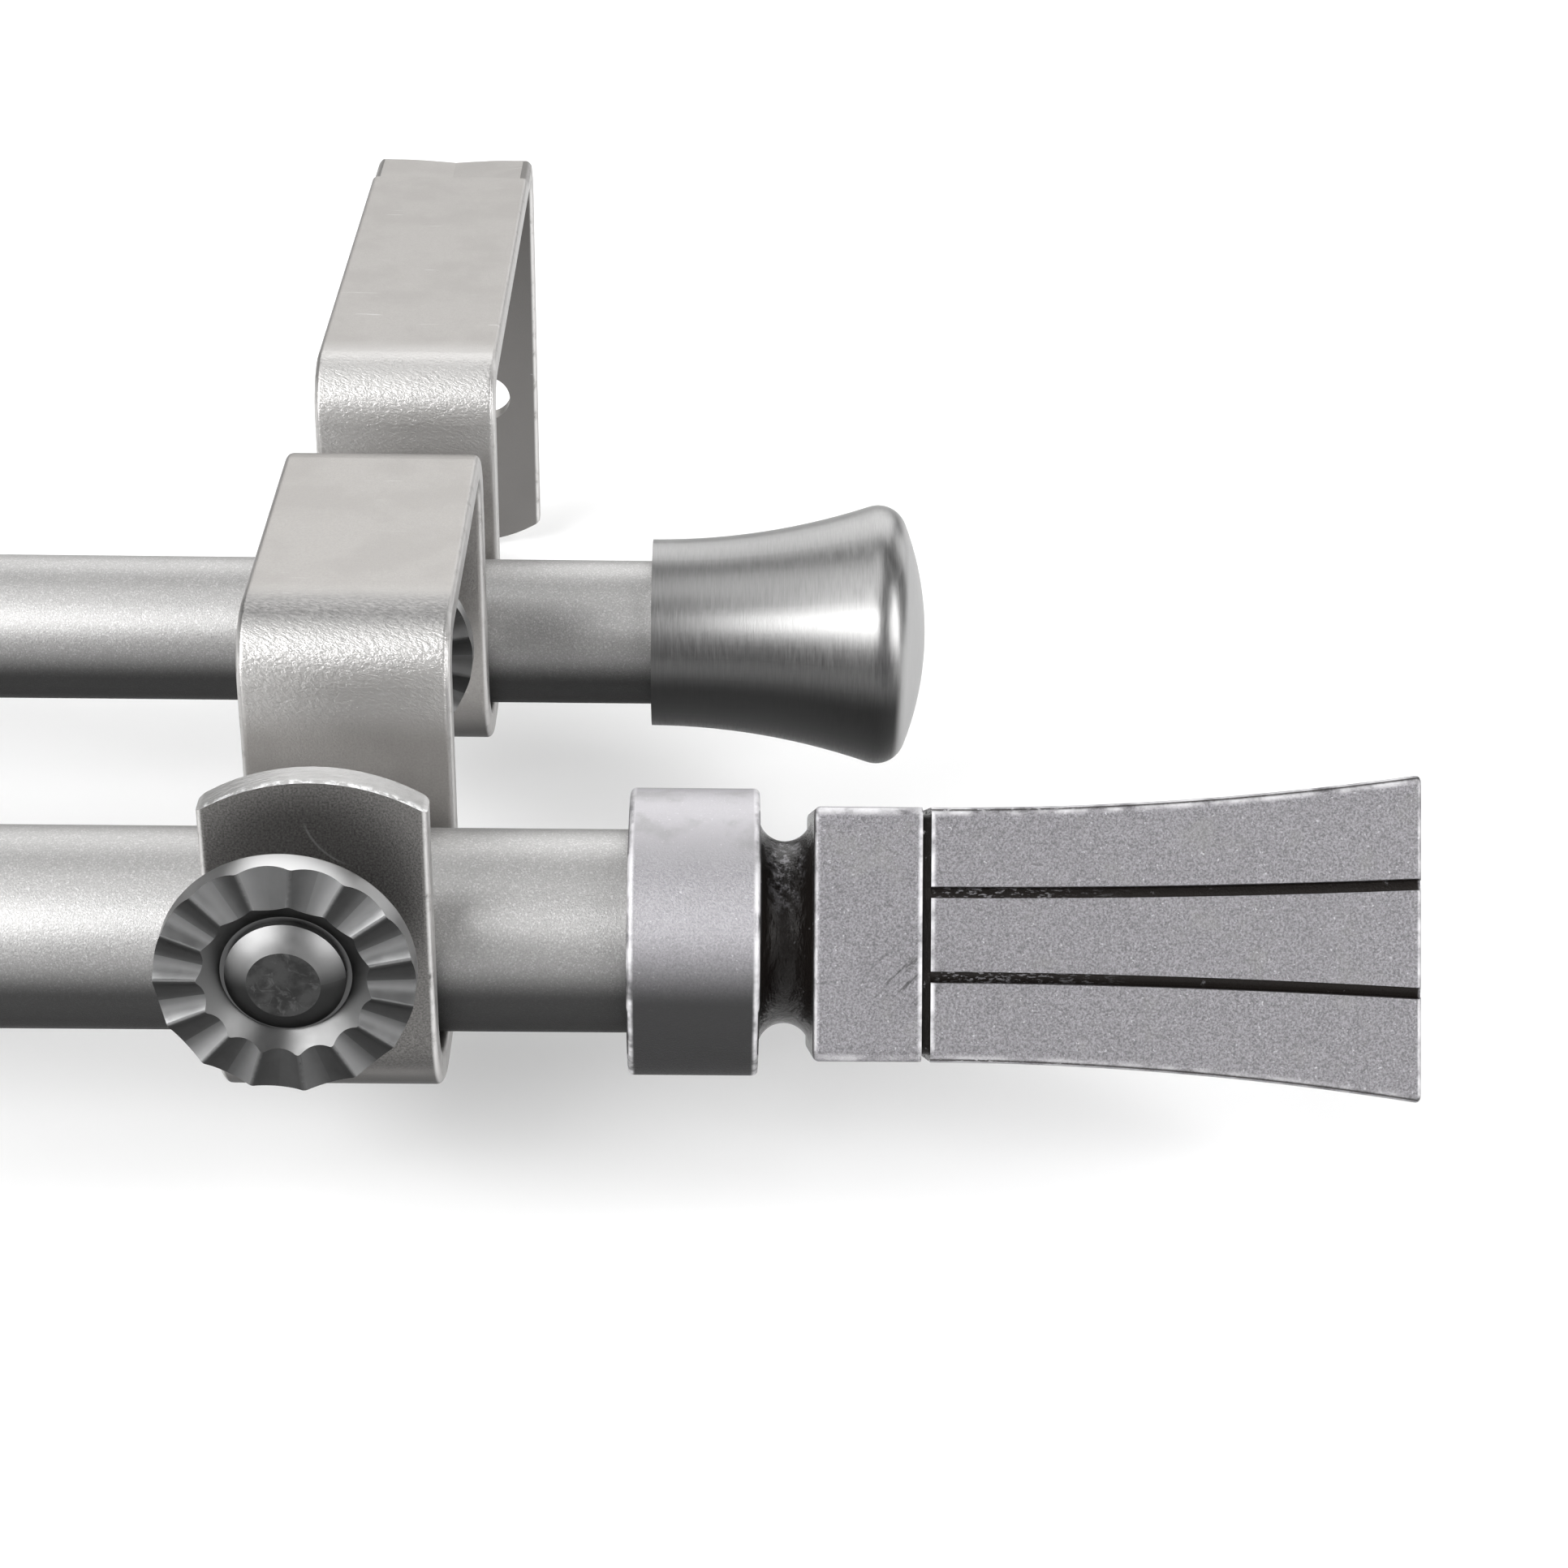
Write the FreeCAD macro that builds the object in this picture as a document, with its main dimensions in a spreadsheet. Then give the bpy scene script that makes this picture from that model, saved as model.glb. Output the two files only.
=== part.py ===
# Double curtain pole: two telescoping poles on two folded strap brackets,
# each pole held by thumbscrews, square finials in front, trumpet caps behind.
# X runs along the poles, Y goes into the wall, Z is up.
# The wall is the plane Y = 0 and the origin lies between the two wall slots.

import FreeCAD, Part
import math
import os
import Sketcher

doc = FreeCAD.newDocument("CurtainPole")
sheet = doc.addObject("Spreadsheet::Sheet", "Sizes")

# Named sizes in millimetres
named_sizes = (
    # bracket strap
    ("strap_width", 20.0),
    ("strap_thick", 3.0),
    ("strap_edge_radius", 0.7),
    ("end_arc_radius", 18.2),
    ("arm_bend_radius", 3.2),
    ("arm_height", 34.3),
    ("plate_drop", 21.4),
    ("tongue_height", 32.0),
    ("slot_length", 12.6),
    ("slot_width", 6.1),
    ("bend_dip_depth", 1.3),
    ("bend_dip_reach", 9.0),
    ("bend_corner_drop", 1.6),
    ("bend_corner_past", 0.3),
    ("bracket_spacing", 656.0),
    # cradles
    ("front_pole_out", 155.0),
    ("back_pole_out", 89.0),
    ("front_pole_height", 8.6),
    ("pole_seat_gap", 0.3),
    ("front_side_gap", 1.7),
    ("back_side_gap", 0.9),
    ("front_cradle_bend", 7.8),
    ("back_cradle_bend", 7.4),
    # poles
    ("front_pole_radius", 9.5),
    ("back_pole_radius", 8.0),
    ("tube_wall", 1.2),
    ("telescope_gap", 0.3),
    ("finial_mouth_offset", 27.0),
    ("cap_mouth_offset", 27.7),
    ("tube_inset", 24.0),
    ("front_inner_length", 614.0),
    ("back_inner_length", 602.0),
    # thumbscrews
    ("screw_radius", 2.0),
    ("screw_fit_gap", 0.05),
    ("screw_hole_offset", 2.0),
    ("clamp_share", 0.68),
    ("screw_tip_gap", 0.3),
    ("screw_tip_cut", 0.5),
    ("screw_reach", 15.4),
    ("knob_radius", 11.25),
    ("knob_thick", 3.0),
    ("knob_edge_round", 0.3),
    ("flute_count", 15.0),
    ("flute_depth", 0.8),
    ("ridge_round", 0.5),
    ("recess_radius", 5.7),
    ("recess_depth", 1.6),
    ("recess_slope", 2.0),
    ("hub_radius", 4.4),
    ("hub_length", 1.5),
    ("head_radius", 5.25),
    ("head_rim", 0.6),
    ("head_flat_radius", 3.2),
    ("head_height", 1.9),
    # sockets
    ("socket_gap", 0.15),
    ("socket_depth", 10.0),
    ("socket_end_gap", 0.3),
    ("reducer_gap", 0.1),
    # finial
    ("collar_radius", 13.4),
    ("collar_length", 12.0),
    ("collar_edge_round", 0.5),
    ("neck_length", 4.8),
    ("neck_radius", 8.5),
    ("neck_root_radius", 10.4),
    ("block_width", 23.0),
    ("block_length", 9.8),
    ("block_corner", 1.0),
    ("block_end_round", 0.6),
    ("score_width", 0.8),
    ("score_depth", 0.6),
    ("line_width", 1.0),
    ("flare_length", 43.7),
    ("flare_rise", 3.2),
    ("flare_corner", 0.8),
    ("flare_end_round", 0.4),
    ("finial_turn", 31.0),
    # end cap
    ("cap_mouth_radius", 10.4),
    ("cap_flare_length", 24.1),
    ("cap_flare_rise", 3.9),
    ("cap_shoulder_radius", 3.2),
    ("cap_dome_radius", 34.0),
)

RIGHT_ANGLE = 90
FULL_TURN = 360
# sides of the square finial
SIDES = 4
# a score line runs this share of the half width from the middle of its face
LINE_SHARE = 1 / 3
# depths that a cut reaches, so that it passes right through
THROUGH = 2
# smallest length that counts
HAIR = 0.01


class Size:
    """A length that keeps both its number and its formula in the sheet."""

    def __init__(self, value, text):
        self.value = value
        self.text = text

    def __add__(self, other):
        other = as_size(other)
        return Size(self.value + other.value, "(%s + %s)" % (self.text, other.text))

    def __sub__(self, other):
        other = as_size(other)
        return Size(self.value - other.value, "(%s - %s)" % (self.text, other.text))

    def __mul__(self, other):
        other = as_size(other)
        return Size(self.value * other.value, "(%s * %s)" % (self.text, other.text))

    def __truediv__(self, other):
        other = as_size(other)
        return Size(self.value / other.value, "(%s / %s)" % (self.text, other.text))

    def __neg__(self):
        return Size(-self.value, "(0 - %s)" % self.text)


def as_size(number):
    if isinstance(number, Size):
        return number
    return Size(float(number), repr(float(number)))


def root(size):
    return Size(math.sqrt(size.value), "sqrt(%s)" % size.text)


def fill_sheet():
    sizes = {}
    for row, (alias, number) in enumerate(named_sizes, start=1):
        cell = "B%d" % row
        sheet.set("A%d" % row, alias)
        sheet.set(cell, repr(number))
        sheet.setAlias(cell, alias)
        sizes[alias] = Size(number, "Sizes.%s" % alias)
    doc.recompute()
    return sizes


S = fill_sheet()
ZERO = as_size(0)

# Places that several pieces share
strap_half = S["strap_width"] / 2
half_thick = S["strap_thick"] / 2
cradle_floor = S["front_pole_height"] - S["front_pole_radius"] - S["pole_seat_gap"]
back_pole_height = cradle_floor + S["pole_seat_gap"] + S["back_pole_radius"]
front_inner_radius = S["front_pole_radius"] - S["tube_wall"] - S["telescope_gap"]
back_inner_radius = S["back_pole_radius"] - S["tube_wall"] - S["telescope_gap"]
half_spacing = S["bracket_spacing"] / 2
finial_mouth = half_spacing + S["finial_mouth_offset"]
cap_mouth = half_spacing + S["cap_mouth_offset"]
front_tube_end = finial_mouth + S["socket_depth"] - S["socket_end_gap"]
back_tube_end = cap_mouth + S["socket_depth"] - S["socket_end_gap"]
front_contact = S["front_pole_radius"] * S["clamp_share"]
back_contact = S["back_pole_radius"] * S["clamp_share"]
front_screw_height = S["front_pole_height"] + front_contact + S["screw_radius"]
back_screw_height = back_pole_height + back_contact + S["screw_radius"]
front_wall_in = S["front_pole_radius"] + S["front_side_gap"]
back_wall_in = S["back_pole_radius"] + S["back_side_gap"]


def new_body(label):
    body = doc.addObject("PartDesign::Body", label)
    body.Label = label
    return body


def origin_feature(body, role):
    for feature in body.Origin.OriginFeatures:
        if feature.Role == role:
            return feature
    raise ValueError("no origin feature " + role)


def new_sketch(body, name, role, lift=None, tilt=None):
    """A sketch on one of the body's origin planes, lifted or tilted from it."""
    sketch = body.newObject("Sketcher::SketchObject", name)
    sketch.AttachmentSupport = [(origin_feature(body, role), "")]
    sketch.MapMode = "FlatFace"
    if tilt is not None:
        turn = FreeCAD.Rotation(FreeCAD.Vector(1, 0, 0), tilt)
        sketch.AttachmentOffset = FreeCAD.Placement(FreeCAD.Vector(0, 0, 0), turn)
    if lift is not None:
        sketch.setExpression("AttachmentOffset.Base.z", lift.text)
    return sketch


def fix_point(sketch, index, end, place):
    """Holds one point of a sketch at its distances from the sketch's origin."""
    for kind, size in (("DistanceX", place[0]), ("DistanceY", place[1])):
        if size is None:
            continue
        number = sketch.addConstraint(
            Sketcher.Constraint(kind, -1, 1, index, end, size.value)
        )
        sketch.setExpression("Constraints[%d]" % number, size.text)


def draw_outline(sketch, corners, arcs=None, closed=True):
    """Straight sides and arcs through the corners, in order.

    arcs holds, for the side that leaves a corner, the arc's centre and
    whether it runs anticlockwise.
    """
    arcs = arcs or {}
    count = len(corners)
    sides = count if closed else count - 1
    starts = []
    for index in range(sides):
        first = corners[index]
        last = corners[(index + 1) % count]
        start = FreeCAD.Vector(first[0].value, first[1].value, 0)
        stop = FreeCAD.Vector(last[0].value, last[1].value, 0)
        if index not in arcs:
            geometry = sketch.addGeometry(Part.LineSegment(start, stop), False)
            starts.append((geometry, 1, 2))
            continue
        centre_x, centre_y, anticlockwise = arcs[index]
        centre = FreeCAD.Vector(centre_x.value, centre_y.value, 0)
        circle = Part.Circle(centre, FreeCAD.Vector(0, 0, 1), (start - centre).Length)
        first_turn = math.atan2(start.y - centre.y, start.x - centre.x)
        last_turn = math.atan2(stop.y - centre.y, stop.x - centre.x)
        if not anticlockwise:
            first_turn, last_turn = last_turn, first_turn
        if last_turn < first_turn:
            last_turn = last_turn + 2 * math.pi
        arc = Part.ArcOfCircle(circle, first_turn, last_turn)
        geometry = sketch.addGeometry(arc, False)
        if anticlockwise:
            starts.append((geometry, 1, 2))
        else:
            starts.append((geometry, 2, 1))
        if abs(stop.x - start.x) > abs(stop.y - start.y):
            fix_point(sketch, geometry, 3, (None, centre_y))
        else:
            fix_point(sketch, geometry, 3, (centre_x, None))
    for index in range(sides):
        geometry, first_end, last_end = starts[index]
        fix_point(sketch, geometry, first_end, corners[index])
        if index + 1 < sides or closed:
            following = starts[(index + 1) % sides]
            sketch.addConstraint(
                Sketcher.Constraint("Coincident", geometry, last_end, following[0], following[1])
            )
        else:
            fix_point(sketch, geometry, last_end, corners[index + 1])
    return sketch


def draw_circle(sketch, centre, radius):
    place = FreeCAD.Vector(centre[0].value, centre[1].value, 0)
    circle = Part.Circle(place, FreeCAD.Vector(0, 0, 1), radius.value)
    geometry = sketch.addGeometry(circle, False)
    fix_point(sketch, geometry, 3, centre)
    number = sketch.addConstraint(Sketcher.Constraint("Radius", geometry, radius.value))
    sketch.setExpression("Constraints[%d]" % number, radius.text)
    return sketch


def rounded_box(sketch, left, right, low, high, corner):
    corners = [
        (left + corner, low), (right - corner, low),
        (right, low + corner), (right, high - corner),
        (right - corner, high), (left + corner, high),
        (left, high - corner), (left, low + corner),
    ]
    arcs = {
        1: (right - corner, low + corner, True),
        3: (right - corner, high - corner, True),
        5: (left + corner, high - corner, True),
        7: (left + corner, low + corner, True),
    }
    return draw_outline(sketch, corners, arcs)


def pad(body, sketch, length, midplane=False, backwards=False):
    feature = body.newObject("PartDesign::Pad", sketch.Name + "Pad")
    feature.Profile = sketch
    feature.setExpression("Length", length.text)
    feature.Midplane = midplane
    feature.Reversed = backwards
    sketch.Visibility = False
    return feature


def pocket(body, sketch, length):
    """A cut to both sides of its sketch."""
    feature = body.newObject("PartDesign::Pocket", sketch.Name + "Cut")
    feature.Profile = sketch
    feature.setExpression("Length", length.text)
    feature.Midplane = True
    sketch.Visibility = False
    return feature


def turned(body, sketch, axis="V_Axis", cut=False):
    kind = "PartDesign::Groove" if cut else "PartDesign::Revolution"
    feature = body.newObject(kind, sketch.Name + "Turn")
    feature.Profile = sketch
    feature.ReferenceAxis = (sketch, [axis])
    feature.Angle = FULL_TURN
    sketch.Visibility = False
    return feature


def polar(body, features, role, copies):
    feature = body.newObject("PartDesign::PolarPattern", body.Name + "Pattern")
    feature.Originals = features
    feature.Axis = (origin_feature(body, role), [""])
    feature.Angle = FULL_TURN
    feature.Occurrences = copies
    body.Tip = feature
    return feature


def cutting_checked(body, before, what):
    doc.recompute()
    if body.Shape.Volume > before - HAIR:
        raise ValueError(what + " cut nothing")


def edges_where(shape, wanted):
    return ["Edge%d" % (n + 1) for n, edge in enumerate(shape.Edges) if wanted(edge)]


def round_edges(body, name, radius, wanted):
    doc.recompute()
    base = body.Tip
    names = edges_where(base.Shape, wanted)
    feature = body.newObject("PartDesign::Fillet", name)
    feature.Base = (base, names)
    feature.setExpression("Radius", radius.text)
    return feature


# Folded strap bracket
def strap_path():
    """Middle line of the strap from the foot of the plate to the tongue."""
    plate = -half_thick
    arm = S["arm_height"] - half_thick
    floor = cradle_floor - half_thick
    bend = S["arm_bend_radius"] + half_thick
    back_bend = S["back_cradle_bend"] + half_thick
    front_bend = S["front_cradle_bend"] + half_thick
    back_rear = -S["back_pole_out"] + back_wall_in + half_thick
    back_front = -S["back_pole_out"] - back_wall_in - half_thick
    front_rear = -S["front_pole_out"] + front_wall_in + half_thick
    tongue = -S["front_pole_out"] - front_wall_in - half_thick
    corners = [(plate, -S["plate_drop"]), (plate, arm - bend)]
    arcs = {}

    def turn(radius, centre, end, anticlockwise):
        arcs[len(corners) - 1] = (centre[0], centre[1], anticlockwise)
        corners.append(end)

    def straight(end):
        corners.append(end)

    turn(bend, (plate - bend, arm - bend), (plate - bend, arm), True)
    straight((back_rear + bend, arm))
    turn(bend, (back_rear + bend, arm - bend), (back_rear, arm - bend), True)
    straight((back_rear, floor + back_bend))
    turn(back_bend, (back_rear - back_bend, floor + back_bend), (back_rear - back_bend, floor), False)
    straight((back_front + back_bend, floor))
    turn(back_bend, (back_front + back_bend, floor + back_bend), (back_front, floor + back_bend), False)
    straight((back_front, arm - bend))
    turn(bend, (back_front - bend, arm - bend), (back_front - bend, arm), True)
    straight((front_rear + bend, arm))
    turn(bend, (front_rear + bend, arm - bend), (front_rear, arm - bend), True)
    straight((front_rear, floor + front_bend))
    turn(front_bend, (front_rear - front_bend, floor + front_bend), (front_rear - front_bend, floor), False)
    straight((tongue + front_bend, floor))
    turn(front_bend, (tongue + front_bend, floor + front_bend), (tongue, floor + front_bend), False)
    straight((tongue, S["tongue_height"]))
    return corners, arcs


def end_arc_cut(body, name, apex, out, upwards):
    """Trims an end of the strap to an arc."""
    reach = strap_half + S["strap_thick"] / 2
    radius = S["end_arc_radius"]
    drop = radius - root(radius * radius - reach * reach)
    away = drop + S["strap_thick"]
    sketch = new_sketch(body, name, "XZ_Plane", lift=out)
    if upwards:
        side = apex - drop
        centre = apex - radius
        far = side + away
    else:
        side = apex + drop
        centre = apex + radius
        far = side - away
    corners = [(-reach, side), (reach, side), (reach, far), (-reach, far)]
    draw_outline(sketch, corners, {0: (ZERO, centre, not upwards)})
    return pocket(body, sketch, S["strap_thick"] * THROUGH)


def make_bracket(label, side):
    body = new_body(label)
    path = new_sketch(body, label + "Path", "YZ_Plane")
    corners, arcs = strap_path()
    draw_outline(path, corners, arcs, closed=False)
    section = new_sketch(body, label + "Section", "XY_Plane", lift=-S["plate_drop"])
    rounded_box(section, -strap_half, strap_half, -S["strap_thick"], ZERO, S["strap_edge_radius"])
    strap = body.newObject("PartDesign::AdditivePipe", label + "Strap")
    strap.Profile = section
    strap.Spine = (path, [])
    path.Visibility = False
    section.Visibility = False
    doc.recompute()
    before = body.Shape.Volume
    tongue = S["front_pole_out"] + front_wall_in + half_thick
    end_arc_cut(body, label + "TongueEnd", S["tongue_height"], tongue, True)
    cutting_checked(body, before, "tongue end")
    before = body.Shape.Volume
    end_arc_cut(body, label + "PlateEnd", -S["plate_drop"], half_thick, False)
    cutting_checked(body, before, "plate end")
    before = body.Shape.Volume
    slot_half = S["slot_width"] / 2
    slot_centre = S["slot_length"] / 2 - slot_half
    slot = new_sketch(body, label + "Slot", "XZ_Plane")
    slot_corners = [
        (-slot_centre, -slot_half), (slot_centre, -slot_half),
        (slot_centre, slot_half), (-slot_centre, slot_half),
    ]
    slot_arcs = {1: (slot_centre, ZERO, True), 3: (-slot_centre, ZERO, True)}
    draw_outline(slot, slot_corners, slot_arcs)
    pocket(body, slot, S["strap_thick"] * THROUGH * 2)
    cutting_checked(body, before, "wall slot")
    before = body.Shape.Volume
    bore = S["screw_radius"] + S["screw_fit_gap"]
    for name, out, height in (
        ("FrontHole", tongue, front_screw_height),
        ("BackHole", S["back_pole_out"] + back_wall_in + half_thick, back_screw_height),
    ):
        hole = new_sketch(body, label + name, "XZ_Plane", lift=out)
        draw_circle(hole, (-S["screw_hole_offset"], height), bore)
        pocket(body, hole, S["strap_thick"] * THROUGH)
        cutting_checked(body, before, name)
        before = body.Shape.Volume
    dip = new_sketch(body, label + "Dip", "XZ_Plane")
    edge = strap_half + S["bend_corner_past"]
    dip_corners = [
        (ZERO, S["arm_height"] - S["bend_dip_depth"]),
        (S["bend_dip_reach"], S["arm_height"]),
        (edge, S["arm_height"] - S["bend_corner_drop"]),
        (edge, S["arm_height"] + S["bend_dip_depth"]),
        (-edge, S["arm_height"] + S["bend_dip_depth"]),
        (-edge, S["arm_height"] - S["bend_corner_drop"]),
        (-S["bend_dip_reach"], S["arm_height"]),
    ]
    draw_outline(dip, dip_corners)
    pocket(body, dip, (S["arm_bend_radius"] + S["strap_thick"]) * THROUGH * 2)
    cutting_checked(body, before, "bend dip")
    body.setExpression("Placement.Base.x", (half_spacing * side).text)
    return body


# Telescoping poles
def make_tube(label, radius, bore, start, length, out, height):
    body = new_body(label)
    ring = new_sketch(body, label + "Ring", "YZ_Plane")
    draw_circle(ring, (ZERO, ZERO), radius)
    draw_circle(ring, (ZERO, ZERO), bore)
    pad(body, ring, length)
    body.setExpression("Placement.Base.x", start.text)
    body.setExpression("Placement.Base.y", (-out).text)
    body.setExpression("Placement.Base.z", height.text)
    return body


def make_poles():
    wall = S["tube_wall"]
    stub = half_spacing - S["tube_inset"]
    for name, radius, inner, inner_length, tube_end, out, height in (
        ("front", S["front_pole_radius"], front_inner_radius, S["front_inner_length"],
         front_tube_end, S["front_pole_out"], S["front_pole_height"]),
        ("back", S["back_pole_radius"], back_inner_radius, S["back_inner_length"],
         back_tube_end, S["back_pole_out"], back_pole_height),
    ):
        make_tube(name + "_outer_tube", radius, radius - wall, -stub, stub + tube_end, out, height)
        make_tube(name + "_inner_tube", inner, inner - wall, -tube_end, inner_length, out, height)


def make_reducer(label, outside, inside, tube_end, out, height):
    """Sleeve that fills a socket around the thinner tube."""
    radius = outside
    bore = inside + S["reducer_gap"]
    length = S["socket_depth"] - S["socket_end_gap"]
    return make_tube(label, radius, bore, -tube_end, length, out, height)


# Thumbscrews
def knob_profile(body, label):
    face = S["screw_reach"]
    back = face - S["knob_thick"]
    floor = face - S["recess_depth"]
    hub = back - S["hub_length"]
    bore = S["screw_radius"] + S["screw_fit_gap"]
    edge = S["knob_edge_round"]
    sketch = new_sketch(body, label + "Profile", "XZ_Plane")
    corners = [
        (bore, hub), (S["hub_radius"], hub), (S["hub_radius"], back),
        (S["knob_radius"] - edge, back), (S["knob_radius"], back + edge),
        (S["knob_radius"], face), (S["recess_radius"] + S["recess_slope"], face),
        (S["recess_radius"], floor), (bore, floor),
    ]
    arcs = {3: (S["knob_radius"] - edge, back + edge, True)}
    draw_outline(sketch, corners, arcs)
    return turned(body, sketch)


def flute_cutter(body, label):
    """Cone that lies along a radius of the knob and meets its neighbours at sharp ridges."""
    face = S["screw_reach"]
    reach = S["knob_radius"] + S["knob_thick"]
    half_turn = math.pi / S["flute_count"].value
    spread = S["knob_radius"] * math.tan(half_turn)
    depth = S["flute_depth"]
    rise = (spread * spread - depth * depth) / (depth * 2)
    start = S["recess_radius"] / 2
    share = start / S["knob_radius"]
    stretch = reach / S["knob_radius"]
    sketch = new_sketch(body, label + "Flute", "XZ_Plane")
    corners = [
        (start, face - depth * share), (reach, face - depth * stretch),
        (reach, face + rise * stretch), (start, face + rise * share),
    ]
    draw_outline(sketch, corners)
    axis = sketch.addGeometry(
        Part.LineSegment(
            FreeCAD.Vector(corners[3][0].value, corners[3][1].value, 0),
            FreeCAD.Vector(corners[2][0].value, corners[2][1].value, 0),
        ),
        True,
    )
    sketch.addConstraint(Sketcher.Constraint("Coincident", axis, 1, 3, 1))
    sketch.addConstraint(Sketcher.Constraint("Coincident", axis, 2, 2, 1))
    return turned(body, sketch, axis="Axis0", cut=True)


def place_screw_part(body, side, tip_out, height):
    """Local Z of a screw part points out of the wall, from its tip."""
    turn = FreeCAD.Rotation(FreeCAD.Vector(1, 0, 0), RIGHT_ANGLE)
    body.Placement = FreeCAD.Placement(FreeCAD.Vector(0, 0, 0), turn)
    across = half_spacing * side - S["screw_hole_offset"]
    body.setExpression("Placement.Base.x", across.text)
    body.setExpression("Placement.Base.y", (-tip_out).text)
    body.setExpression("Placement.Base.z", height.text)


def round_ridges(body, label):
    """Softens the ridge between each pair of flutes."""
    face = S["screw_reach"].value
    low = face - S["flute_depth"].value
    lip = S["recess_radius"].value

    def on_ridge(edge):
        first = edge.valueAt(edge.FirstParameter)
        last = edge.valueAt(edge.LastParameter)
        reach = sorted(math.hypot(point.x, point.y) for point in (first, last))
        turn = math.atan2(first.y, first.x) - math.atan2(last.y, last.x)
        radial = abs(math.sin(turn)) < HAIR and math.cos(turn) > 0
        return radial and reach[1] - reach[0] > lip / 4 and min(first.z, last.z) > low

    round_edges(body, label + "Ridges", S["ridge_round"], on_ridge)


def make_knob(label, side, tip_out, height):
    body = new_body(label)
    knob_profile(body, label)
    doc.recompute()
    before = body.Shape.Volume
    flute = flute_cutter(body, label)
    cutting_checked(body, before, "flute")
    polar(body, [flute], "Z_Axis", int(S["flute_count"].value))
    cutting_checked(body, before, "flutes")
    round_ridges(body, label)
    place_screw_part(body, side, tip_out, height)
    return body


def make_screw(label, side, tip_out, height):
    body = new_body(label)
    floor = S["screw_reach"] - S["recess_depth"]
    rim = floor + S["head_rim"]
    top = floor + S["head_height"]
    radius = S["screw_radius"]
    tip_cut = S["screw_tip_cut"]
    sketch = new_sketch(body, label + "Profile", "XZ_Plane")
    flat = S["head_flat_radius"]
    fall = top - rim
    sink = (S["head_radius"] * S["head_radius"] - flat * flat - fall * fall) / (fall * 2)
    corners = [
        (ZERO, ZERO), (radius - tip_cut, ZERO), (radius, tip_cut), (radius, floor),
        (S["head_radius"], floor), (S["head_radius"], rim),
        (flat, top), (ZERO, top),
    ]
    arcs = {5: (ZERO, rim - sink, True)}
    draw_outline(sketch, corners, arcs)
    turned(body, sketch)
    place_screw_part(body, side, tip_out, height)
    return body


def tip_distance(radius, contact):
    return root(radius * radius - contact * contact) + S["screw_tip_gap"]


def make_thumbscrews():
    places = (
        ("front_right", 1, S["front_pole_radius"], front_contact,
         S["front_pole_out"], front_screw_height),
        ("front_left", -1, front_inner_radius, front_contact,
         S["front_pole_out"], front_screw_height),
        ("back_right", 1, S["back_pole_radius"], back_contact,
         S["back_pole_out"], back_screw_height),
        ("back_left", -1, back_inner_radius, back_contact,
         S["back_pole_out"], back_screw_height),
    )
    for name, side, radius, contact, out, height in places:
        tip_out = out + tip_distance(radius, contact)
        make_knob("knob_" + name, side, tip_out, height)
        make_screw("screw_" + name, side, tip_out, height)


# Square flared finial
def finial_stem(body, label):
    """Round collar and hollow-turned neck, along local X from the mouth."""
    collar = S["collar_radius"]
    end = S["collar_length"]
    neck_end = end + S["neck_length"]
    edge = S["collar_edge_round"]
    root_radius = S["neck_root_radius"]
    half = S["neck_length"] / 2
    sag = root_radius - S["neck_radius"]
    bulge = (half * half + sag * sag) / (sag * 2)
    sketch = new_sketch(body, label + "Stem", "XZ_Plane")
    corners = [
        (ZERO, S["front_pole_radius"] + S["socket_gap"]), (ZERO, collar - edge),
        (edge, collar), (end - edge, collar), (end, collar - edge),
        (end, root_radius), (neck_end, root_radius), (neck_end, ZERO),
        (S["socket_depth"], ZERO), (S["socket_depth"], S["front_pole_radius"] + S["socket_gap"]),
    ]
    arcs = {
        1: (edge, collar - edge, False),
        3: (end - edge, collar - edge, False),
        5: (end + half, S["neck_radius"] + bulge, True),
    }
    draw_outline(sketch, corners, arcs)
    return turned(body, sketch, axis="H_Axis")


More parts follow.
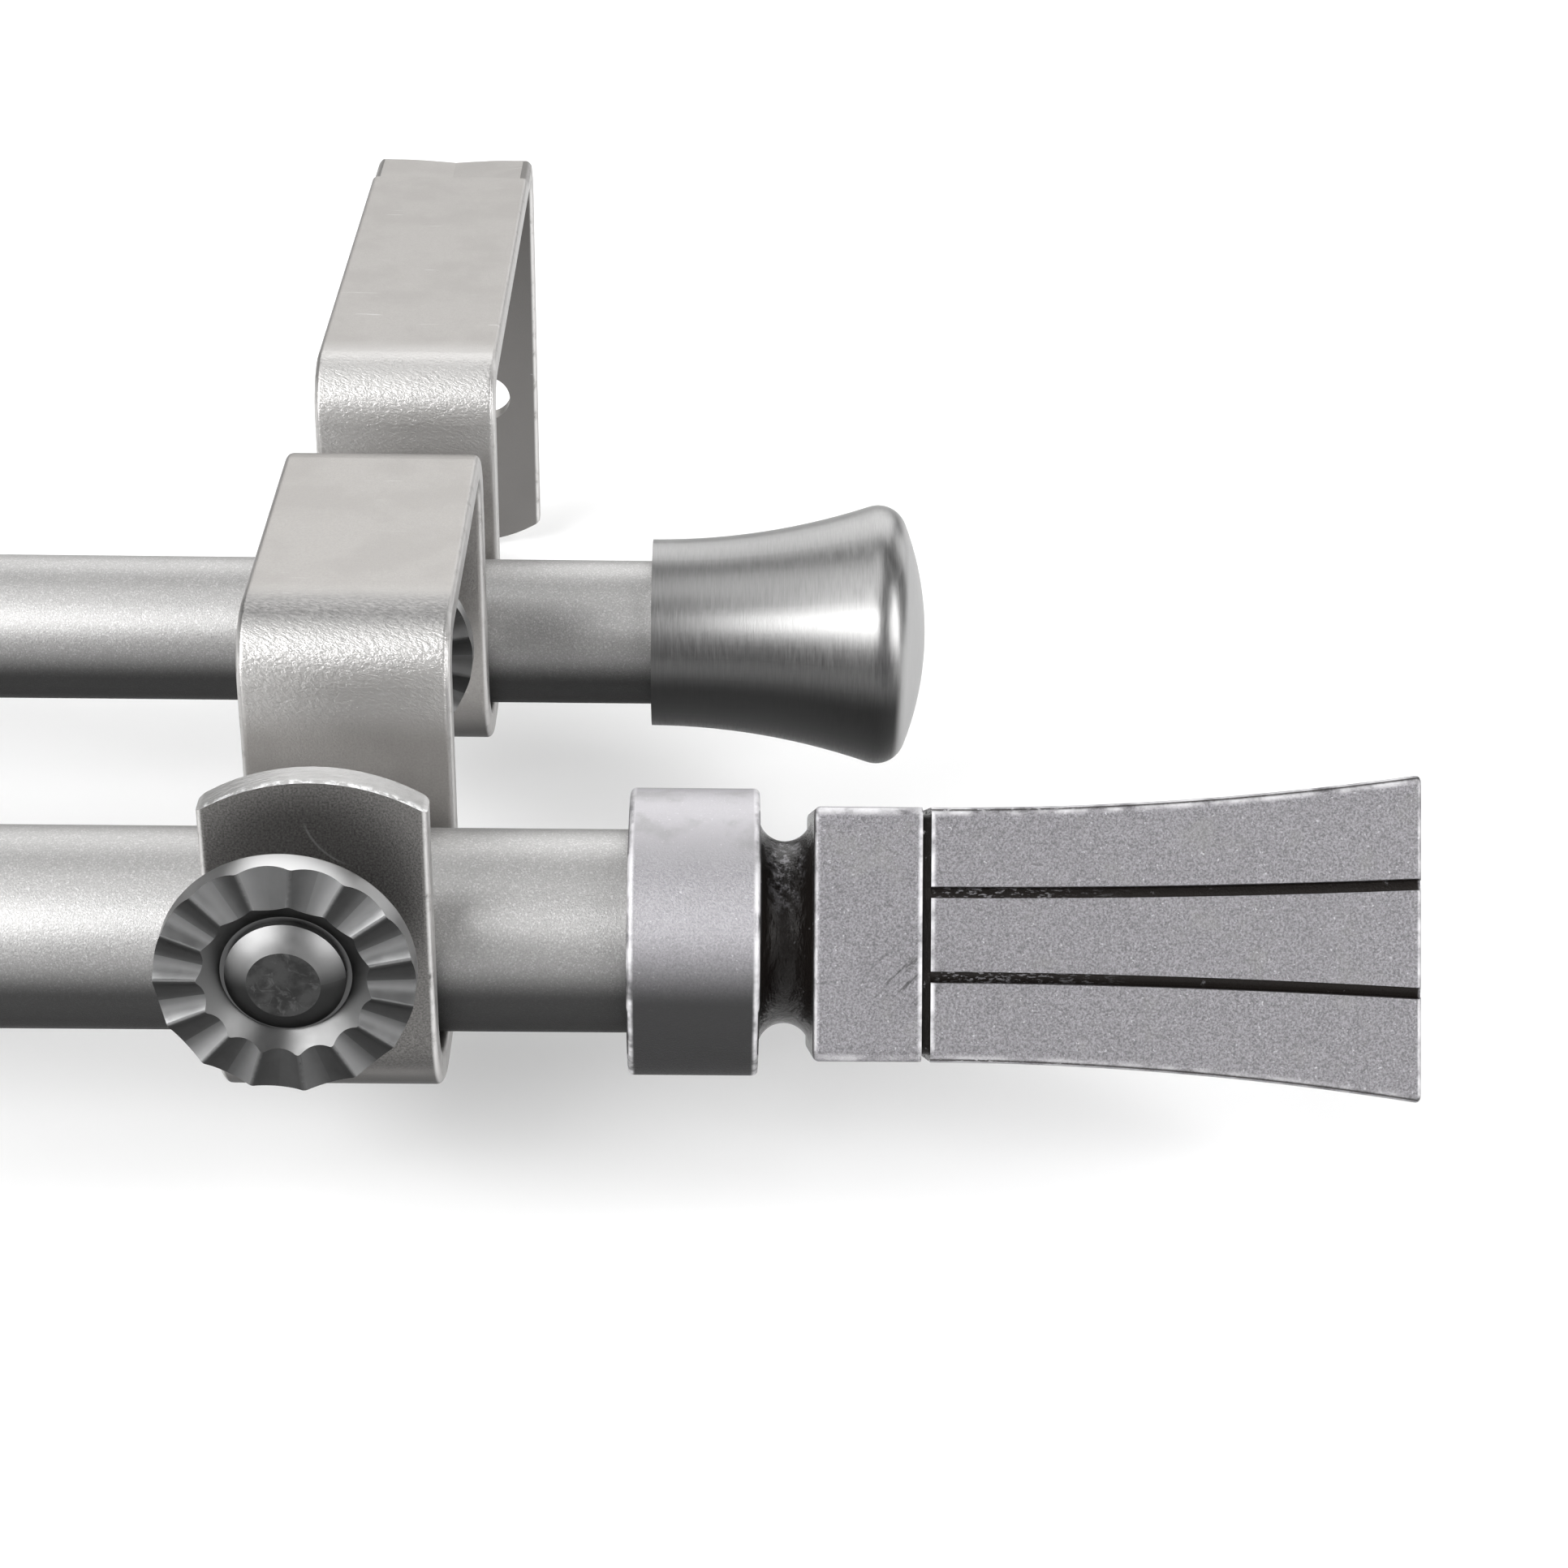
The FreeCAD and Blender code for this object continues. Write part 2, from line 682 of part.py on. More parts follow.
def make_finial(label, side):
    body = new_body(label)
    finial_stem(body, label)
    half = S["block_width"] / 2
    block_start = S["collar_length"] + S["neck_length"]
    score_start = block_start + S["block_length"]
    flare_start = score_start + S["score_width"]
    flare_end = flare_start + S["flare_length"]
    block = new_sketch(body, label + "Block", "YZ_Plane", lift=block_start)
    rounded_box(block, -half, half, -half, half, S["block_corner"])
    pad(body, block, S["block_length"])
    inner = half - S["score_depth"]
    score = new_sketch(body, label + "Score", "YZ_Plane", lift=score_start)
    rounded_box(score, -inner, inner, -inner, inner, S["block_corner"])
    pad(body, score, S["score_width"])
    rise = S["flare_rise"]
    bulge = (S["flare_length"] * S["flare_length"] + rise * rise) / (rise * 2)
    wide = half + rise
    front = new_sketch(body, label + "FlareFront", "XZ_Plane")
    front_corners = [
        (flare_start, -half), (flare_end, -wide), (flare_end, wide), (flare_start, half),
    ]
    front_arcs = {
        0: (flare_start, -half - bulge, False),
        2: (flare_start, half + bulge, False),
    }
    draw_outline(front, front_corners, front_arcs)
    pad(body, front, wide * 2, midplane=True)
    doc.recompute()
    before = body.Shape.Volume
    clear = wide * 2
    for name, sign in (("Upper", 1), ("Lower", -1)):
        trim = new_sketch(body, label + "Trim" + name, "XY_Plane")
        trim_corners = [
            (flare_start, half * sign), (flare_end, wide * sign),
            (flare_end, clear * sign), (flare_start, clear * sign),
        ]
        draw_outline(trim, trim_corners, {0: (flare_start, (half + bulge) * sign, sign > 0)})
        pocket(body, trim, clear * 2)
        cutting_checked(body, before, "flare side")
        before = body.Shape.Volume
    first = flare_start.value
    last = flare_end.value

    def on_corner(edge):
        box = edge.BoundBox
        lengthwise = box.XLength > (last - first) / 2 and box.XMin > first - HAIR
        middle = edge.valueAt((edge.FirstParameter + edge.LastParameter) / 2)
        return lengthwise and abs(abs(middle.y) - abs(middle.z)) < HAIR

    round_edges(body, label + "FlareEdges", S["flare_corner"], on_corner)

    def on_end(edge):
        box = edge.BoundBox
        return box.XMin > last - HAIR

    round_edges(body, label + "EndEdges", S["flare_end_round"], on_end)

    def on_block(edge):
        box = edge.BoundBox
        flat = max(box.XMax - block_start.value, block_start.value - box.XMin) < HAIR
        return flat and max(box.YMax, box.ZMax) > S["neck_root_radius"].value + HAIR

    round_edges(body, label + "BlockEdges", S["block_end_round"], on_block)
    doc.recompute()
    before = body.Shape.Volume
    slant = root(as_size(1) + as_size(LINE_SHARE) * LINE_SHARE)
    cutters = []
    for name, tilt in (("Near", 1), ("Far", -1)):
        turn = RIGHT_ANGLE + tilt * math.degrees(math.atan(LINE_SHARE))
        line = new_sketch(body, label + "Line" + name, "XY_Plane", tilt=turn)
        low = (half - S["score_depth"]) * slant
        high = (wide - S["score_depth"]) * slant
        line_rise = high - low
        length = S["flare_length"]
        line_bulge = (length * length + line_rise * line_rise) / (line_rise * 2)
        past = flare_end + S["score_width"]
        line_corners = [
            (flare_start, low), (flare_end, high), (past, high),
            (past, clear), (flare_start, clear),
        ]
        draw_outline(line, line_corners, {0: (flare_start, low + line_bulge, True)})
        cutters.append(pocket(body, line, S["line_width"]))
        cutting_checked(body, before, "flare line")
        before = body.Shape.Volume
    polar(body, cutters, "X_Axis", SIDES)
    cutting_checked(body, before, "flare lines")
    place_pole_end(
        body, side, finial_mouth, S["front_pole_out"], S["front_pole_height"], S["finial_turn"]
    )
    return body


def place_pole_end(body, side, mouth, out, height, turn=None):
    """Local X of a pole end points away from the middle of the pole."""
    spin = FreeCAD.Rotation(FreeCAD.Vector(1, 0, 0), -turn.value if turn else 0)
    if side < 0:
        flip = FreeCAD.Rotation(FreeCAD.Vector(0, 0, 1), 180)
        spin = spin.multiply(flip)
    body.Placement = FreeCAD.Placement(FreeCAD.Vector(0, 0, 0), spin)
    body.setExpression("Placement.Base.x", (mouth * side).text)
    body.setExpression("Placement.Base.y", (-out).text)
    body.setExpression("Placement.Base.z", height.text)


# Trumpet end cap
def make_end_cap(label, side):
    body = new_body(label)
    mouth_radius = S["cap_mouth_radius"]
    shoulder = mouth_radius + S["cap_flare_rise"]
    length = S["cap_flare_length"]
    rise = S["cap_flare_rise"]
    bulge = (length * length + rise * rise) / (rise * 2)
    # the shoulder's arc runs on from the flare's, and the dome's from the shoulder's
    soft = S["cap_shoulder_radius"]
    soft_x = length + soft * length / bulge
    soft_r = shoulder - soft * (bulge - rise) / bulge
    dome = S["cap_dome_radius"]
    centre = soft_x - root((dome - soft) * (dome - soft) - soft_r * soft_r)
    share = dome / (dome - soft)
    bore = S["back_pole_radius"] + S["socket_gap"]
    sketch = new_sketch(body, label + "Profile", "XZ_Plane")
    corners = [
        (ZERO, bore), (ZERO, mouth_radius), (length, shoulder),
        (centre + (soft_x - centre) * share, soft_r * share),
        (centre + dome, ZERO), (S["socket_depth"], ZERO), (S["socket_depth"], bore),
    ]
    arcs = {
        1: (ZERO, mouth_radius + bulge, True),
        2: (soft_x, soft_r, False),
        3: (centre, ZERO, False),
    }
    draw_outline(sketch, corners, arcs)
    turned(body, sketch, axis="H_Axis")
    place_pole_end(body, side, cap_mouth, S["back_pole_out"], back_pole_height)
    return body


def check_and_write():
    for item in doc.Objects:
        if "Invalid" in item.State or "Error" in item.State:
            raise ValueError("%s failed: %s" % (item.Label, item.State))
    os.makedirs("parts", exist_ok=True)
    bodies = [item for item in doc.Objects if item.TypeId == "PartDesign::Body"]
    for body in bodies:
        if body.Shape.isNull() or not body.Shape.isValid():
            raise ValueError(body.Label + " has no valid shape")
        if len(body.Shape.Solids) != 1:
            raise ValueError(body.Label + " is not one solid")
    for body in bodies:
        body.Shape.exportStep("parts/%s.step" % body.Label)
        print("%-22s %10.1f mm3" % (body.Label, body.Shape.Volume))


for side_name, side in (("right", 1), ("left", -1)):
    make_bracket("bracket_" + side_name, side)
    make_finial("finial_" + side_name, side)
    make_end_cap("end_cap_" + side_name, side)
make_poles()
make_reducer(
    "finial_reducer", S["front_pole_radius"], front_inner_radius, front_tube_end,
    S["front_pole_out"], S["front_pole_height"],
)
make_reducer(
    "cap_reducer", S["back_pole_radius"], back_inner_radius, back_tube_end,
    S["back_pole_out"], back_pole_height,
)
make_thumbscrews()
doc.recompute()
check_and_write()
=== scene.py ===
import math

import bpy
from mathutils import Matrix, Vector


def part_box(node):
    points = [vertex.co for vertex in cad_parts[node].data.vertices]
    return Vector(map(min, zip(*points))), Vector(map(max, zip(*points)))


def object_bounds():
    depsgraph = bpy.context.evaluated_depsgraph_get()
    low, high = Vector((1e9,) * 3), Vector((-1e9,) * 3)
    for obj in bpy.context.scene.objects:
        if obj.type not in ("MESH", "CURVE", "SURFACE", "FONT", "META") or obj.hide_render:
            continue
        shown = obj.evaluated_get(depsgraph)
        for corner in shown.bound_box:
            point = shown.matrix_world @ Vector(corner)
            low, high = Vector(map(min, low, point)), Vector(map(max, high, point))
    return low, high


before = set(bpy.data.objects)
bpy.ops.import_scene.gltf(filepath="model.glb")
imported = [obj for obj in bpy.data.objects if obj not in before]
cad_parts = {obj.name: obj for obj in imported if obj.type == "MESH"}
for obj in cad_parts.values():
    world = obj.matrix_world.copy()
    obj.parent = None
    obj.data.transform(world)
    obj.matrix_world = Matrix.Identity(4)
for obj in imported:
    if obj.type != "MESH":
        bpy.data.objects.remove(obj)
cad_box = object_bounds()

# Places on the part, read from the frame and given in millimetres
MM = 1000


def corners(node):
    low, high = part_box(node)
    return MM * low, MM * high


def middle(node):
    low, high = corners(node)
    return (low + high) / 2


BRACKET_X = middle("bracket_right").x
TONGUE_Y = corners("bracket_right")[0].y
POLE_Y, POLE_Z = middle("front_outer_tube").yz
FINIAL_START = corners("finial_right")[0].x
CAP_START = corners("end_cap_right")[0].x

# The strap in millimetres: where each mark on it fades in and out
STRAP_HALF = corners("bracket_right")[1].x - BRACKET_X
FRONT_BEND_Y = (-150.0, -146.0, -141.0, -133.5)
REAR_BEND_Y = (-84.0, -82.0, -77.0, -69.5)
BENDS_Z = (22.0, 26.5)
# where the strip of painted shade at the start of the front bend fades in and out
SHADE_BAND_Y = (-142.5, -139.5, -138.4, -134.6)
SHADE_BAND_Z = (29.5, 31.0)
PLATE_FRONT_Y = (-5.0, -3.5)
PLATE_END_Y = (-4.0, -3.2)
TONGUE_FRONT_Y = (TONGUE_Y + 1.7, TONGUE_Y + 0.7)
TONGUE_END_Y = (TONGUE_Y + 5.2, TONGUE_Y + 4.2)
BURR_Y = (TONGUE_Y + 1.0, TONGUE_Y + 0.3)

# The arc that the knob has rubbed into the tongue, in millimetres: its middle,
# across from the bracket's middle and up, its radius, and where it fades out,
# across from its own middle and up
ARC_X, ARC_Z, ARC_RADIUS = 5.2, 29.5, 6.05
ARC_ENDS_X = (-1.0, -2.2)
ARC_ENDS_Z = (23.6, 24.6, 27.0, 28.6)

# The finial in millimetres, its places counted along it from where its collar
# starts, and the turn of its block about the pole
COLLAR_END = 12.0
BLOCK_START = 17.0
BLOCK_HALF = 11.5
BLOCK_TURN = math.radians(31)
FLARE_START = 27.4
FLARE_END = corners("finial_right")[1].x - FINIAL_START
FLARE_RISE = 3.2
SCRATCHES_ALONG, SCRATCHES_UP = 25.4, -3.2

# The finial's colours, with the dark and the light of the grain for two of them
PEWTER_FLAT = ((0.145, 0.142, 0.149, 1), (0.305, 0.298, 0.315, 1))
PEWTER_COLLAR = ((0.31, 0.305, 0.32, 1), (0.42, 0.41, 0.43, 1))
# a painted highlight on top of the collar
PEWTER_TOP_HIGHLIGHT = (0.48, 0.47, 0.49, 1)
PEWTER_SPECK = (0.74, 0.73, 0.76, 1)
PEWTER_CLOUD = (0.25, 0.25, 0.24, 1)
# the pale of the corners and edges, partly wear and partly painted highlight
PEWTER_BARE_AND_HIGHLIGHT = (0.85, 0.84, 0.86, 1)
PEWTER_BLACK = (0.012, 0.010, 0.009, 1)

# Where the painted shade on the cap starts and where it is full, in millimetres from its narrow end
CAP_SHADE = (27.3, 12.3)

# The photograph's camera: its place in metres, across from the bracket, out from
# the wall and up from the front pole, its angles in degrees, and its focal
# length in pixels of the photograph
CAMERA_PLACE = (0.03484, -0.40626, 0.15534)
CAMERA_PITCH, CAMERA_YAW, CAMERA_ROLL = 29.03, 1.43, 1.19
CAMERA_FOCAL = 3884.6
PHOTO_WIDTH = 1932
SENSOR_WIDTH = 36

# The floor and the world: metres, and strengths
FLOOR_BELOW = 0.0011
FLOOR_HALF = 40.0
FLOOR_GLOW = 0.07
WORLD_LIGHT = 0.14

# Each lamp's place and target in metres, its two sizes and its power in watts
LAMPS = {
    "key": ((-0.12, -1.02, 0.74), (0.31, -0.15, 0.0), (0.42, 0.42), 5.0),
    "top": ((-0.15, -0.32, 1.20), (0.30, -0.13, 0.0), (0.85, 1.25), 6.1),
    "back": ((0.35, 0.98, 0.74), (0.33, -0.1, 0.0), (1.3, 1.15), 11.2),
    "side": ((1.45, -0.62, 0.55), (0.38, -0.1, 0.0), (0.30, 1.3), 4.5),
    "rim": ((1.30, 0.75, 0.45), (0.38, -0.1, 0.0), (0.5, 0.8), 2.4),
    "wing_left": ((-0.75, -0.95, 0.60), (0.33, -0.18, 0.0), (0.9, 0.9), 16.0),
    "wing_right": ((1.40, -0.95, 0.60), (0.33, -0.18, 0.0), (0.9, 0.9), 10.5),
}


class Look:
    """A procedural material. Places inside it are in millimetres in the row frame."""

    def __init__(self, name, tint=0.4):
        self.material = bpy.data.materials.new(name)
        self.material.use_nodes = True
        self.tree = self.material.node_tree
        self.tree.nodes.clear()
        self.shader = self.tree.nodes.new("ShaderNodeBsdfPrincipled")
        output = self.tree.nodes.new("ShaderNodeOutputMaterial")
        self.tree.links.new(self.shader.outputs[0], output.inputs[0])
        coords = self.tree.nodes.new("ShaderNodeTexCoord").outputs
        self.at = self.vector("SCALE", coords["Object"], scale=MM)
        self.normal = coords["Normal"]
        self.world_normal = self.tree.nodes.new("ShaderNodeNewGeometry").outputs["Normal"]
        self.shader.inputs["Specular Tint"].default_value = (tint, tint, tint, 1)

    def put(self, socket, value):
        if isinstance(value, bpy.types.NodeSocket):
            self.tree.links.new(value, socket)
        else:
            socket.default_value = value

    def set(self, **values):
        for name, value in values.items():
            self.put(self.shader.inputs[name.replace("_", " ")], value)

    def node(self, kind, *inputs, **settings):
        node = self.tree.nodes.new(kind)
        for name, value in settings.items():
            setattr(node, name, value)
        for index, value in enumerate(inputs):
            if value is not None:
                self.put(node.inputs[index], value)
        return node

    # Arithmetic
    def compute(self, operation, first, second=0.0):
        return self.node("ShaderNodeMath", first, second, operation=operation).outputs[0]

    def chain(self, operation, values):
        result = values[0]
        for value in values[1:]:
            result = self.compute(operation, result, value)
        return result

    def times(self, *values):
        return self.chain("MULTIPLY", values)

    def plus(self, *values):
        return self.chain("ADD", values)

    def minus(self, *values):
        return self.chain("SUBTRACT", values)

    def most(self, *values):
        return self.chain("MAXIMUM", values)

    def least(self, *values):
        return self.chain("MINIMUM", values)

    def size(self, value):
        """The value without its sign."""
        return self.compute("ABSOLUTE", value)

    def gap(self, value, place):
        return self.size(self.minus(value, place))

    def vector(self, operation, first, second=None, scale=None, output="Vector"):
        node = self.node("ShaderNodeVectorMath", first, second, operation=operation)
        if scale is not None:
            node.inputs["Scale"].default_value = scale
        return node.outputs[output]

    def parts(self, vector):
        return self.node("ShaderNodeSeparateXYZ", vector).outputs

    def join(self, x, y, z=0.0):
        return self.node("ShaderNodeCombineXYZ", x, y, z).outputs[0]

    def length(self, x, y):
        return self.vector("LENGTH", self.join(x, y), output="Value")

    # Masks and ranges
    def step(self, value, low, high):
        """Rises smoothly from 0 at low to 1 at high."""
        node = self.node("ShaderNodeMapRange", value, low, high, 0.0, 1.0)
        node.interpolation_type = "SMOOTHSTEP"
        return node.outputs[0]

    def between(self, value, outer_low, inner_low, inner_high, outer_high):
        """1 between the inner places and 0 outside the outer ones."""
        return self.times(self.step(value, outer_low, inner_low), self.step(value, outer_high, inner_high))

    def underside(self, low, high):
        """1 on faces that look down, where the normal's height is under low, and 0 over high."""
        return self.step(self.parts(self.normal)[2], high, low)

    def spread(self, value, low, high, out_low=0.0, out_high=1.0):
        """Rises evenly from out_low at low to out_high at high."""
        return self.node("ShaderNodeMapRange", value, low, high, out_low, out_high).outputs[0]

    # Grain
    def noise(self, vector, scale, detail=2.0, roughness=0.5, distortion=0.0):
        node = self.node("ShaderNodeTexNoise")
        self.put(node.inputs["Vector"], vector)
        node.inputs["Scale"].default_value = scale
        node.inputs["Detail"].default_value = detail
        node.inputs["Roughness"].default_value = roughness
        node.inputs["Distortion"].default_value = distortion
        return node.outputs[0]

    def stretched(self, factors):
        """The place with each coordinate scaled, so that noise on it runs one way."""
        return self.vector("MULTIPLY", self.at, factors)

    def flakes(self, scale):
        """A random value in each small cell."""
        node = self.node("ShaderNodeTexVoronoi")
        self.put(node.inputs["Vector"], self.at)
        node.inputs["Scale"].default_value = scale
        return self.parts(node.outputs["Color"])[0]

    # Results
    def mix(self, share, first, second):
        node = self.node("ShaderNodeMix", data_type="RGBA")
        self.put(node.inputs[0], share)
        self.put(node.inputs[6], first)
        self.put(node.inputs[7], second)
        return node.outputs[2]

    def blend(self, share, first, second):
        node = self.node("ShaderNodeMix", data_type="FLOAT")
        self.put(node.inputs[0], share)
        self.put(node.inputs[2], first)
        self.put(node.inputs[3], second)
        return node.outputs[0]

    def bump(self, height, distance, below=None):
        """Height runs from 0 to 1 over the distance in metres."""
        node = self.node("ShaderNodeBump")
        node.inputs["Strength"].default_value = 1.0
        node.inputs["Distance"].default_value = distance
        self.put(node.inputs["Height"], height)
        if below is not None:
            self.put(node.inputs["Normal"], below)
        return node.outputs[0]


def grey(value, warm=0.0):
    return (value * (1 + warm), value, value * (1 - warm), 1)


class StrapPlaces:
    """Where a point lies on a strap, in millimetres, and the strap's grain there."""

    def __init__(self, look):
        self.x, self.y, self.z = look.parts(look.at)
        sideways, front, self.rise = look.parts(look.normal)
        self.off_middle = look.minus(look.size(self.x), BRACKET_X)
        self.facing = look.step(front, -0.6, -0.9)
        self.grain = look.noise(look.at, 5.0, 3.0, 0.6)
        # 1 on the outside of the two upper bends that look to the front
        either = look.most(look.between(self.y, *FRONT_BEND_Y), look.between(self.y, *REAR_BEND_Y))
        upright = look.step(look.size(sideways), 0.6, 0.3)
        self.on_bend = look.times(look.step(self.z, *BENDS_Z), either, upright)
        slant = look.times(self.x, 0.22)
        peel_at = look.join(look.times(self.x, 0.45), look.plus(self.y, slant), look.plus(self.z, slant))
        self.peel = look.noise(peel_at, 3.7, 3.0, 0.6, 0.3)
        # 1 on the tongue's upper end and the wall plate's lower end
        tongue_end = look.times(look.step(self.rise, 0.35, 0.6), look.step(self.y, *TONGUE_END_Y))
        plate_end = look.times(look.step(self.rise, -0.35, -0.6), look.step(self.y, *PLATE_END_Y))
        self.on_end = look.most(tongue_end, plate_end)
        self.tear = look.noise(look.stretched((0.35, 2.2, 1.0)), 1.2, 4.0, 0.6)


def strap_look():
    """Satin nickel lacquer, stippled where the strap is bent and bare where it is sheared, with painted
    shade on its fronts, top and undersides and painted highlights on its bends and along its edges.
    """
    look = Look("strap_nickel")
    at = StrapPlaces(look)
    colour = strap_lacquer(look, at)
    colour = strap_painted_shade(look, at, colour)
    colour = strap_sheared_ends(look, at, colour)
    colour = strap_bend_highlight_and_shade(look, at, colour)
    colour = strap_wear_and_edge_highlight(look, at, colour)
    look.set(Base_Color=colour, Metallic=0.85)
    look.set(Roughness=look.blend(at.on_bend, look.spread(at.grain, 0.3, 0.7, 0.36, 0.46), 0.36))
    lift = look.bump(look.times(at.peel, at.on_bend), 0.00009)
    lift = look.bump(look.times(at.tear, at.on_end), 0.00025, below=lift)
    look.set(Normal=look.bump(look.noise(look.at, 6.0), 0.00002, below=lift))
    return look.material


def strap_lacquer(look, at):
    """The plain lacquer, darker in soft patches, and a little darker on top as painted shade."""
    colour = look.mix(look.spread(at.grain, 0.3, 0.7), grey(0.34, 0.035), grey(0.43, 0.035))
    # painted shade: the top faces darkened
    colour = look.mix(look.times(look.step(at.rise, 0.5, 0.95), 0.22), colour, grey(0.20, 0.035))
    patches = look.step(look.noise(look.at, 0.16, 3.0), 0.40, 0.66)
    return look.mix(look.times(patches, 0.28), colour, grey(0.27, 0.04))


def strap_painted_shade(look, at, colour):
    """Painted shade: the tongue's and the wall plate's fronts and the undersides darkened, as in a dark
    room.
    """
    tongue = look.times(look.step(at.y, *TONGUE_FRONT_Y), at.facing)
    colour = look.mix(look.times(tongue, 0.95), colour, tongue_shade_and_arc(look, at))
    # painted shade on the wall plate's front, under the arm
    plate = look.times(look.step(at.y, *PLATE_FRONT_Y), at.facing)
    colour = look.mix(look.times(plate, 0.85), colour, grey(0.15, 0.03))
    # painted shade on the faces that look down
    return look.mix(look.times(look.underside(-0.7, -0.1), 0.8), colour, grey(0.05))


def tongue_shade_and_arc(look, at):
    """The tongue's front, darkened as painted shade, with the pale arc that the knob has scraped into it.
    """
    beside = look.minus(at.off_middle, ARC_X)
    ring = look.length(beside, look.minus(at.z, ARC_Z))
    arc = look.times(
        look.step(look.gap(ring, ARC_RADIUS), 0.16, 0.03),
        look.between(at.z, *ARC_ENDS_Z),
        look.step(beside, *ARC_ENDS_X),
    )
    # painted shade: the dark of the tongue's front
    dark = look.mix(look.spread(at.grain, 0.35, 0.65), grey(0.08, 0.03), grey(0.17, 0.03))
    return look.mix(look.times(arc, 0.35), dark, grey(0.45))


def strap_sheared_ends(look, at, colour):
    """Bare torn metal on both ends, and the bright burr at the tongue's tip."""
    bare = look.mix(at.tear, grey(0.40, 0.01), grey(0.56, 0.01))
    colour = look.mix(at.on_end, colour, bare)
    burr = look.times(
        look.step(at.y, *BURR_Y),
        look.step(at.rise, 0.15, 0.4),
        look.step(look.noise(look.at, 0.8, 4.0, 0.7), 0.45, 0.6),
    )
    return look.mix(burr, colour, grey(0.95))


def strap_bend_highlight_and_shade(look, at, colour):
    """The outer bends paler, partly stretched skin and partly painted highlight, with a strip of painted
    shade where the front one starts.
    """
    # partly painted highlight: the bends paler
    colour = look.mix(look.times(at.on_bend, 0.6), colour, grey(0.62, 0.01))
    # painted shade: a dark strip where the front bend starts
    shade_band = look.times(look.between(at.y, *SHADE_BAND_Y), look.step(at.z, *SHADE_BAND_Z))
    shade_band = look.times(shade_band, look.spread(at.peel, 0.35, 0.65, 0.85, 0.45))
    return look.mix(shade_band, colour, grey(0.17, 0.01))


def strap_wear_and_edge_highlight(look, at, colour):
    """A bright line along the strap's edges, partly wear and partly painted highlight, and fine scratches.
    """
    # partly wear and partly painted highlight: the bright line along the edges
    wear_and_highlight = look.times(
        look.step(look.size(at.off_middle), STRAP_HALF - 0.55, STRAP_HALF - 0.25),
        look.step(look.noise(look.at, 0.5, 4.0, 0.7), 0.22, 0.50),
        look.spread(at.rise, 0.4, 0.9, 0.6, 0.3),
    )
    colour = look.mix(wear_and_highlight, colour, grey(0.85, 0.01))
    scratches = look.noise(look.stretched((0.06, 1.0, 0.35)), 2.4, 2.0, 0.5, 0.4)
    return look.mix(look.times(look.step(scratches, 0.72, 0.76), 0.35), colour, grey(0.7))


def pole_look(name, low, high):
    """Satin nickel with a fine sparkle and painted shade on its underside; low and high say where that
    painted shade starts.
    """
    look = Look(name)
    grain = look.noise(look.at, 6.0, 3.0, 0.7)
    cloud = look.noise(look.stretched((0.3, 1.0, 1.0)), 0.12)
    glint = look.step(look.flakes(7.5), 0.78, 0.95)
    colour = look.mix(look.spread(grain, 0.35, 0.65), grey(0.36, 0.01), grey(0.50, 0.01))
    colour = look.mix(look.times(glint, 0.30), colour, grey(0.85))
    colour = look.mix(look.times(cloud, 0.15), colour, grey(0.30, 0.02))
    # painted shade: the underside darkened
    colour = look.mix(look.times(look.underside(low, high), 0.94), colour, grey(0.025))
    look.set(Base_Color=colour, Metallic=0.88)
    look.set(Roughness=look.spread(grain, 0.3, 0.7, 0.38, 0.50))
    look.set(Normal=look.bump(grain, 0.00003))
    return look.material


class FinialPlaces:
    """Where a point lies on a finial, in millimetres; side is 1 at the right end, -1 at the left."""

    def __init__(self, look, side):
        x, y, z = look.parts(look.at)
        across = look.minus(y, POLE_Y)
        self.up = look.minus(z, POLE_Z)
        self.along = look.minus(look.times(x, side), FINIAL_START)
        cos, sin = math.cos(BLOCK_TURN), math.sin(BLOCK_TURN)
        self.flat_y = look.minus(look.times(across, cos), look.times(self.up, sin))
        self.flat_z = look.plus(look.times(across, sin), look.times(self.up, cos))
        # the face's distance from the axis here, and the point's depth under it
        run = look.most(look.minus(self.along, FLARE_START), 0.0)
        curve = look.times(run, run, FLARE_RISE / (FLARE_END - FLARE_START) ** 2)
        self.face = look.plus(BLOCK_HALF, curve)
        reach = look.most(look.size(self.flat_y), look.size(self.flat_z))
        self.depth = look.minus(self.face, reach)
        self.on_neck = look.between(
            self.along, COLLAR_END - 0.1, COLLAR_END + 0.2, BLOCK_START - 0.3, BLOCK_START + 0.3
        )


def finial_look(name, side):
    """Speckled silver lacquer with blackened grooves and neck, pale corners and turned edges that are
    partly wear and partly painted highlight, painted highlights on top of the collar and the neck, and
    painted shade underneath.
    """
    look = Look("finial_pewter_" + name)
    at = FinialPlaces(look, side)
    fine = look.noise(look.at, 5.0, 3.0, 0.75)
    edge_wear_and_highlight = finial_edge_wear_and_highlight(look, at)
    black = finial_black(look, at)
    colour = pewter_paint(look, at, fine)
    colour = look.mix(look.times(edge_wear_and_highlight, 0.7), colour, PEWTER_BARE_AND_HIGHLIGHT)
    colour = look.mix(black, colour, PEWTER_BLACK)
    look.set(Base_Color=colour)
    look.set(Metallic=look.blend(black, look.blend(look.times(edge_wear_and_highlight, 0.8), 0.75, 0.25), 0.2))
    look.set(Roughness=look.blend(black, look.spread(fine, 0.3, 0.7, 0.38, 0.52), 0.15))
    ripple = look.noise(look.stretched((1.0, 0.4, 0.4)), 1.1, 3.0, 0.6)
    lift = look.bump(fine, 0.00005)
    look.set(Normal=look.bump(look.times(ripple, at.on_neck), 0.00025, below=lift))
    return look.material


